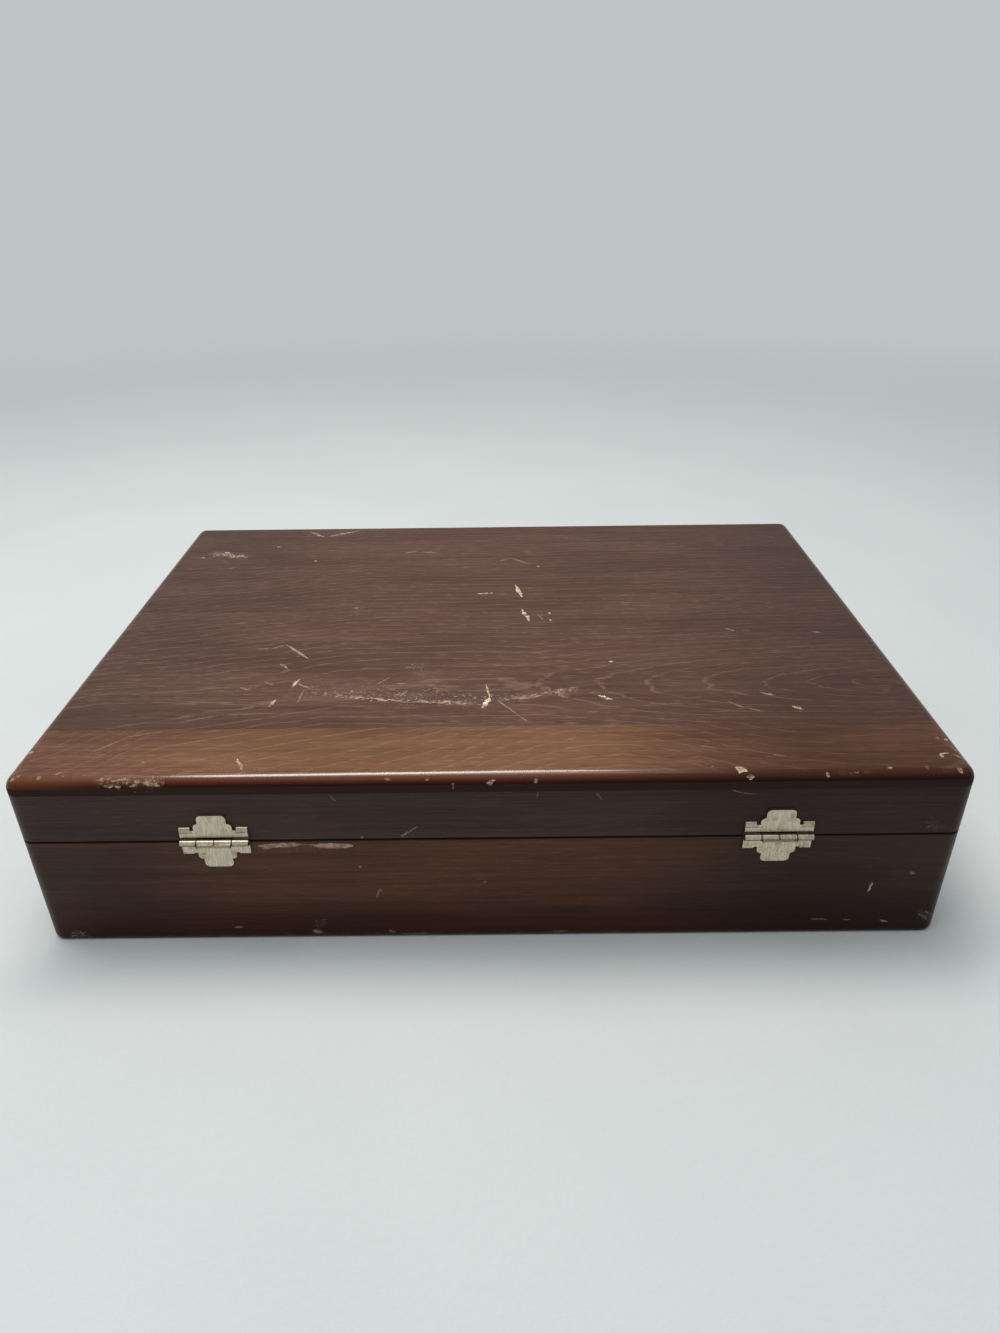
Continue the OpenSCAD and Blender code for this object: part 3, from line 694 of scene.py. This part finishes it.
def painted_hinge_shade(graph, over_pin, from_middle, wing):
    """Painted shade in the fold above the knuckles, in their joints, and thinner in the wings'
    crease.
    """
    fold = graph.band(over_pin, FOLD - 0.35 * MM, FOLD - 0.15 * MM,
                      FOLD + 0.35 * MM, FOLD + 0.5 * MM)
    off_joint = graph.size(graph.minus(from_middle, JOINT))
    reach = graph.ramp(over_pin, 0.8 * MM, -0.8 * MM, 0.35 * MM, 0.7 * MM)
    joints = graph.larger(graph.ramp(graph.minus(reach, off_joint), 0.0, 0.2 * MM),
                          graph.ramp(from_middle, 0.30 * MM, 0.15 * MM, 0.0, 0.7))
    joints = graph.times(joints, graph.band(over_pin, -2.0 * MM, -1.6 * MM, FOLD, FOLD + 0.2 * MM))
    crease = graph.band(over_pin, WING_BEND - 0.25 * MM, WING_BEND - 0.1 * MM,
                        WING_BEND + 0.1 * MM, WING_BEND + 0.25 * MM)
    return graph.larger(graph.times(graph.larger(fold, joints), 0.9),
                        graph.times(wing, 0.55, crease))


def nickel():
    """Dull nickel plate: finely brushed and spotted, rubbed bright on the knuckles. Painted shade
    darkens it under them and where the upper wings bend in, and blackens its folds and joints."""
    material, graph, shader, place = new_material("nickel_plate")
    x, y, z = graph.split(place)
    over_pin = graph.minus(z, PIN_Z)
    from_middle = graph.math("PINGPONG", graph.minus(x, HINGE_X), HINGES_APART / 2)
    knuckle = graph.ramp(y, PIN_Y - 0.2 * MM, PIN_Y + 0.2 * MM)
    under = graph.times(knuckle, graph.ramp(over_pin, 0.6 * MM, -0.2 * MM))
    wing = graph.ramp(from_middle, WING - 0.2 * MM, WING + 0.2 * MM)
    bent_in = graph.times(wing, graph.ramp(over_pin, WING_BEND, WING_BEND + 0.4 * MM))
    crevice_shade = painted_hinge_shade(graph, over_pin, from_middle, wing)

    stretched = graph.join(graph.times(x, 2600), graph.times(y, 300), graph.times(z, 240))
    brushed = graph.noise(stretched, 1.0, 4, 0.65)
    spots = graph.noise(place, 1100, 4, 0.7)
    clouds = graph.noise(place, 190, 3)
    tarnish = graph.ramp(graph.mul_add(clouds, 0.6, graph.times(spots, 0.5)), 0.56, 0.70)
    colour = graph.mix(graph.ramp(brushed, 0.32, 0.68), (0.46, 0.395, 0.30), (0.68, 0.60, 0.465))
    # Tarnish, then painted shade under the knuckles, where the wings bend in, and in folds and
    # joints
    for share, tone in ((graph.times(tarnish, 0.6), (0.27, 0.21, 0.145)),
                        (graph.times(under, 0.7), (0.20, 0.165, 0.125)),
                        (graph.times(bent_in, 0.4), (0.27, 0.22, 0.165)),
                        (crevice_shade, (0.03, 0.022, 0.015))):
        colour = graph.mix(share, colour, tone)
    rough = graph.mul_add(tarnish, 0.2, graph.ramp(brushed, 0.2, 0.8, 0.27, 0.36))
    rough = graph.blend(crevice_shade, graph.blend(knuckle, rough, 0.2), 0.7)
    height = graph.mul_add(spots, 0.02, graph.times(brushed, 0.008))
    graph.fill(shader, Base_Color=colour, Metallic=1.0, Roughness=rough,
               Normal=graph.bump(height, MM, 0.7))
    return material


def flannel():
    """Brown anti-tarnish flannel: a short nap over a fine weave, brushed lighter in patches."""
    material, graph, shader, place = new_material("flannel")
    nap = graph.noise(place, 2600, 4, 0.75)
    tufts = graph.noise(place, 620, 4, 0.6)
    brushed = graph.noise(place, 26, 3)
    colour = graph.mix(graph.ramp(nap, 0.3, 0.7), (0.070, 0.036, 0.022), (0.135, 0.076, 0.048))
    colour = graph.mix(graph.ramp(brushed, 0.4, 0.65, 0.0, 0.45), colour, (0.150, 0.090, 0.060))
    colour = graph.mix(graph.ramp(tufts, 0.35, 0.2, 0.0, 0.5), colour, (0.045, 0.022, 0.014))
    height = graph.mul_add(tufts, 0.25, graph.times(nap, 0.15))
    graph.fill(shader, Base_Color=colour, Roughness=0.95, Specular_IOR_Level=0.15,
               Sheen_Weight=0.35, Sheen_Roughness=0.45, Sheen_Tint=(0.75, 0.55, 0.42, 1.0),
               Normal=graph.bump(height, MM, 0.8))
    return material


# ------------------------ boards of the top

NICK_DEPTH = 0.25 * MM

# Slopes of the rounded edge, in degrees, at which a line of points runs along it
EDGE_SLOPES = (0, 12, 24, 36, 48, 60, 72, 82, 90)


def inset(x, y):
    """Depth of a place in from the top's outline in plan, and the direction out to the outline."""
    past_x = abs(x) - (CASE_W / 2 - CORNER_R)
    past_y = abs(y) - (CASE_D / 2 - CORNER_R)
    if past_x > 0 and past_y > 0:
        out = Vector((past_x, past_y))
        depth = CORNER_R - out.length
        out.normalize()
    else:
        out = Vector((1, 0)) if past_x > past_y else Vector((0, 1))
        depth = CORNER_R - max(past_x, past_y)
    return depth, Vector((math.copysign(out.x, x), math.copysign(out.y, y)))


def top_surface(x, y):
    """Point on the top's upper side over x, y, and the direction that the surface faces there."""
    depth, out = inset(x, y)
    level = 1 - min(max(depth / EDGE_R, 0.0), 1.0)
    upright = math.sqrt(1 - level * level)
    return (Vector((x, y, TOP_HIGH - EDGE_R + EDGE_R * upright)),
            Vector((out.x * level, out.y * level, upright)))


def held_in(point, side):
    """The point, moved onto its board where it lies past an edge."""
    depth, out = inset(*point)
    if depth < 0:
        point = point + out * depth
    return Vector((point.x, side * max(side * point.y, side * JOINT_Y)))


def rounding_line(depth, side):
    """Line at that depth in from the top's edge, on the joint's front side (-1) or back side (1),
    from the right end of the joint round to its left end."""
    radius = max(CORNER_R - depth, 0.0)
    steps = 10
    half = [Vector((CASE_W / 2 - depth, JOINT_Y))]
    for angle in (math.radians(90 * i / steps) for i in range(steps + 1)):
        half.append(Vector((CASE_W / 2 - depth - radius + radius * math.cos(angle),
                            side * (CASE_D / 2 - depth - radius + radius * math.sin(angle)))))
    return half + [Vector((-p.x, p.y)) for p in reversed(half)]


def ends(x0, y0, x1, y1):
    """Both ends of a stroke in mm."""
    return Vector((x0, y0)) * MM, Vector((x1, y1)) * MM


def ragged_blade(x0, y0, x1, y1, width, drawn_in=0.0):
    """Outline of a stroke in mm that is widest in its middle and ragged along its sides, drawn in
    from its edge and ends by a share."""
    start, end = ends(x0, y0, x1, y1)
    along = end - start
    aside = Vector((-along.y, along.x)).normalized()
    count = max(4, round(along.length / (1.3 * MM)))
    rows = []
    for side in (1, -1):
        row = []
        for i in range(count + 1):
            t = 0.5 + (i / count - 0.5) * (1 - drawn_in)
            here = start + along * t
            ragged = 1 + 0.8 * noise.noise(Vector((*here, side * 0.02)) * 900)
            bend = 0.5 * noise.noise(Vector((*here, 0.05)) * 260)
            swell = math.sin(math.pi * (0.04 + 0.92 * t)) ** 0.9
            reach = width * MM / 2 * (side * swell * ragged * (1 - drawn_in) + bend)
            row.append(here + aside * reach)
        rows.append(row)
    return rows[0] + rows[1][::-1]


def rub_loop(x0, y0, x1, y1, reach):
    """Round-ended loop at that reach in metres from a stroke."""
    start, end = ends(x0, y0, x1, y1)
    heading = math.atan2(end.y - start.y, end.x - start.x)
    loop = []
    for centre, first in ((end, heading - math.pi / 2), (start, heading + math.pi / 2)):
        for i in range(7):
            angle = first + math.pi * i / 6
            loop.append(centre + Vector((math.cos(angle), math.sin(angle))) * reach)
    return loop


def rub_share(point, rubs):
    """How strongly the rubs cover a point, from none at their width to full at their stroke."""
    share = 0.0
    for x0, y0, x1, y1, width, strength in rubs:
        start, end = ends(x0, y0, x1, y1)
        nearest, along = geometry.intersect_point_line(point, start, end)
        nearest = start if along < 0 else end if along > 1 else nearest.to_2d()
        closeness = 1 - (point - nearest).length / (width * MM / 2)
        share = max(share, strength * min(max(closeness, 0.0), 1.0))
    return share


def inside(point, outline):
    crossings = 0
    for a, b in zip(outline, outline[1:] + outline[:1]):
        if (a.y > point.y) != (b.y > point.y):
            crossings += point.x < a.x + (point.y - a.y) / (b.y - a.y) * (b.x - a.x)
    return crossings % 2 == 1


def strongest(point, outlines):
    """Strength of the strongest mark whose outline holds the point."""
    held = [strength for outline, strength, low, high in outlines
            if low.x < point.x < high.x and low.y < point.y < high.y and inside(point, outline)]
    return max(held, default=0.0)


def outlined(marks):
    """Each mark's outline with its strength and its lowest and highest corners."""
    made = []
    for *stroke, strength in marks:
        outline = ragged_blade(*stroke)
        low, high = (Vector(map(pick, *outline)) for pick in (min, max))
        made.append((outline, strength, low, high))
    return made


def carved_plan(side, nicks, scratches, rubs):
    """Triangles of a board in plan, which keep the outline of every mark as edges: the points, the
    triangles and the numbers of the points that are sunk in nicks."""
    points, edges, sunk = [], [], set()

    def chain(line, closed=True):
        first = len(points)
        points.extend(held_in(point, side) for point in line)
        edges.extend((i, i + 1) for i in range(first, len(points) - 1))
        if closed:
            edges.append((len(points) - 1, first))
        return range(first, len(points))

    for degrees in EDGE_SLOPES:
        chain(rounding_line(EDGE_R * (1 - math.cos(math.radians(degrees))), side), closed=False)
    for *stroke, _ in nicks + scratches:
        chain(ragged_blade(*stroke))
    for *stroke, _ in nicks:
        sunk.update(chain(ragged_blade(*stroke, drawn_in=0.4)))
    for x0, y0, x1, y1, width, _ in rubs:
        chain(ends(x0, y0, x1, y1), closed=False)
        for share in (0.5, 1.0):
            chain(rub_loop(x0, y0, x1, y1, share * width * MM / 2))
    flat, _, faces, origins, _, _ = geometry.delaunay_2d_cdt(points, edges, [], 0, 1e-7, True)
    return flat, faces, {i for i, sources in enumerate(origins) if sunk.intersection(sources)}


def outline_order(faces):
    """Which point follows which round the outline of some faces."""
    used = {(a, b) for ring in faces for a, b in zip(ring, ring[1:] + ring[:1])}
    return {a: b for a, b in used if (b, a) not in used}


def top_board(name, side, material, nicks, scratches, rubs):
    """One board of the top, on the joint's front side (-1) or back side (1), worn by its marks."""
    flat, triangles, sunk = carved_plan(side, nicks, scratches, rubs)
    surface = [top_surface(*point) for point in flat]
    points = [place - facing * NICK_DEPTH if i in sunk else place
              for i, (place, facing) in enumerate(surface)]
    facings = [facing for _, facing in surface]
    nick_outlines, scratch_outlines = outlined(nicks), outlined(scratches)
    rubbed = [rub_share(point, rubs) for point in flat]

    faces, normals, marks = [], [], []
    for ring in triangles:
        middle = sum((flat[i] for i in ring), Vector((0, 0))) / len(ring)
        nicked = strongest(middle, nick_outlines)
        lies = geometry.normal([points[i] for i in ring])
        faces.append(list(ring))
        normals += [lies if nicked else facings[i] for i in ring]
        marks += [(nicked, strongest(middle, scratch_outlines), rubbed[i]) for i in ring]

    following = outline_order(faces)
    under = {}
    for a in sorted(following):
        under[a] = len(points)
        points.append(Vector((points[a].x, points[a].y, TOP_LOW)))
    for a, b in sorted(following.items()):
        at_joint = max(abs(points[i].y - JOINT_Y) for i in (a, b)) < 1e-6
        outward = [Vector((0, -side, 0)) if at_joint else facings[i] for i in (a, a, b, b)]
        faces.append([a, under[a], under[b], b])
        normals += outward
        marks += [(0, 0, 0)] * 4
    first = min(following)
    ring = [first]
    while following[ring[-1]] != first:
        ring.append(following[ring[-1]])
    faces.append([under[i] for i in reversed(ring)])
    normals += [Vector((0, 0, -1))] * len(ring)
    marks += [(0, 0, 0)] * len(ring)

    mesh = bpy.data.meshes.new(name + "_worn")
    mesh.from_pydata(points, [], faces)
    mesh.shade_smooth()
    mesh.normals_split_custom_set(normals)
    carried = mesh.attributes.new(MARKS, "FLOAT_VECTOR", "CORNER")
    carried.data.foreach_set("vector", [value for mark in marks for value in mark])
    mesh.materials.append(material)
    piece = add_object(name + "_worn", mesh)
    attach(piece, "lid")
    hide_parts(name)


# ------------------------ soft pieces

def grid_lines(low, high, soft, cell):
    """Places along one side of a soft slab: close together round each edge, cell apart between."""
    edge = [soft * s for s in (0.0, 0.12, 0.3, 0.6, 1.0)]
    count = max(1, round((high - low - 2 * soft) / cell))
    middle = [low + soft + (high - low - 2 * soft) * i / count for i in range(1, count)]
    return [low + e for e in edge] + middle + [high - e for e in reversed(edge)]


def slab_mesh(low, high, soft, cell):
    """Closed box from low to high as points on a grid, and the faces between them."""
    lines = [grid_lines(low[a], high[a], soft, cell) for a in range(3)]
    counts = [len(line) - 1 for line in lines]
    numbers, points, faces = {}, [], []

    def number(key):
        if key not in numbers:
            numbers[key] = len(points)
            points.append(Vector(lines[a][key[a]] for a in range(3)))
        return numbers[key]

    for a in range(3):
        b, c = (a + 1) % 3, (a + 2) % 3
        for end in (0, counts[a]):
            for i in range(counts[b]):
                for j in range(counts[c]):
                    ring = []
                    for di, dj in ((0, 0), (1, 0), (1, 1), (0, 1)):
                        key = [0, 0, 0]
                        key[a], key[b], key[c] = end, i + di, j + dj
                        ring.append(number(tuple(key)))
                    faces.append(ring if end else ring[::-1])
    return points, faces


def soft_slab(name, body, soft, cell, dip, steps):
    """Flannel-covered slab in a node's box, with round edges. Its surface dips by up to dip, in so
    many steps to a metre, and its points lie cell apart."""
    low, high = (Vector(corner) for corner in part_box(name))
    points, faces = slab_mesh(low, high, soft, cell)
    for point in points:
        inner = Vector(min(max(point[a], low[a] + soft), high[a] - soft) for a in range(3))
        outward = point - inner
        if outward.length > 0:
            uneven = noise.fractal(point * steps, 1.0, 2.0, 3)
            outward = outward.normalized() * (soft - dip * (0.5 + 0.5 * uneven))
        point[:] = inner + outward
    return soft_piece(name, body, points, faces)


def soft_piece(name, body, points, faces):
    """The flannel mesh that stands for a node."""
    mesh = bpy.data.meshes.new(name + "_cloth")
    mesh.from_pydata(points, [], faces)
    mesh.shade_smooth()
    mesh.materials.append(FLANNEL)
    piece = add_object(name + "_cloth", mesh)
    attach(piece, body)
    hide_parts(name)
    return piece


def wrapped_bar(name, body):
    """Flannel-wrapped copy of a bar: remeshed, with its edges and slots softened."""
    voxel, smoothings, sink = 1.4 * MM, 4, 0.12 * MM
    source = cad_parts[name]
    rough = add_object("rough_" + name, source.data.copy())
    remesh = rough.modifiers.new("remesh", "REMESH")
    remesh.mode = "VOXEL"
    remesh.voxel_size = voxel
    smooth = rough.modifiers.new("smooth", "SMOOTH")
    smooth.factor = 0.5
    smooth.iterations = smoothings
    depsgraph = bpy.context.evaluated_depsgraph_get()
    made = bpy.data.meshes.new_from_object(rough.evaluated_get(depsgraph))
    bpy.data.objects.remove(rough)
    points = []
    for vertex in made.vertices:
        uneven = noise.fractal(vertex.co * 60, 1.0, 2.0, 3)
        points.append(vertex.co - vertex.normal * (sink * (1 + uneven)))
    soft_piece(name, body, points, [tuple(face.vertices) for face in made.polygons])


def soft_pieces():
    card = {"soft": 0.5 * MM, "cell": 6 * MM, "steps": 40}
    soft_slab("floor_lining", "base", dip=0.25 * MM, **card)
    for side in ("front", "back", "left", "right"):
        soft_slab(f"base_{side}_lining", "base", dip=0.2 * MM, **card)
        soft_slab(f"lid_{side}_lining", "lid", dip=0.2 * MM, **card)
    pad = soft_slab("lid_pad", "lid", soft=1.3 * MM, cell=5 * MM, dip=0.9 * MM, steps=28)
    for name, body in (("serving_partition", "base"), ("front_rack_bar", "base"),
                       ("rear_rack_bar", "base"), ("knife_handle_bar", "lid"),
                       ("knife_blade_bar", "lid")):
        wrapped_bar(name, body)


# ------------------------ dressing

def dress():
    """Gives each rigid node its own material."""
    finishes = {"bottom_panel": plywood()}
    for side, along in (("front", "X"), ("back", "X"), ("left", "Y"), ("right", "Y")):
        finishes[f"base_{side}_wall"] = base_wood(f"base_{side}_wood", along, side)
        finishes[f"lid_{side}_rail"] = rail_wood(f"lid_{side}_wood", along, side)
    plate = nickel()
    for name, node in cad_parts.items():
        if "hinge" in name:
            finishes[name] = plate
        if name in finishes:
            node.data.materials.clear()
            node.data.materials.append(finishes[name])


fitted_camera()
studio()
floor()
lights()
dress()
top_board("lid_top_board", -1, top_board_wood(), TOP_NICKS, TOP_SCRATCHES, TOP_RUBS)
top_board("lid_top_strip", 1, top_strip_wood(), STRIP_NICKS, STRIP_SCRATCHES, STRIP_RUBS)
FLANNEL = flannel()
soft_pieces()
bpy.context.scene.view_settings.view_transform = "Standard"
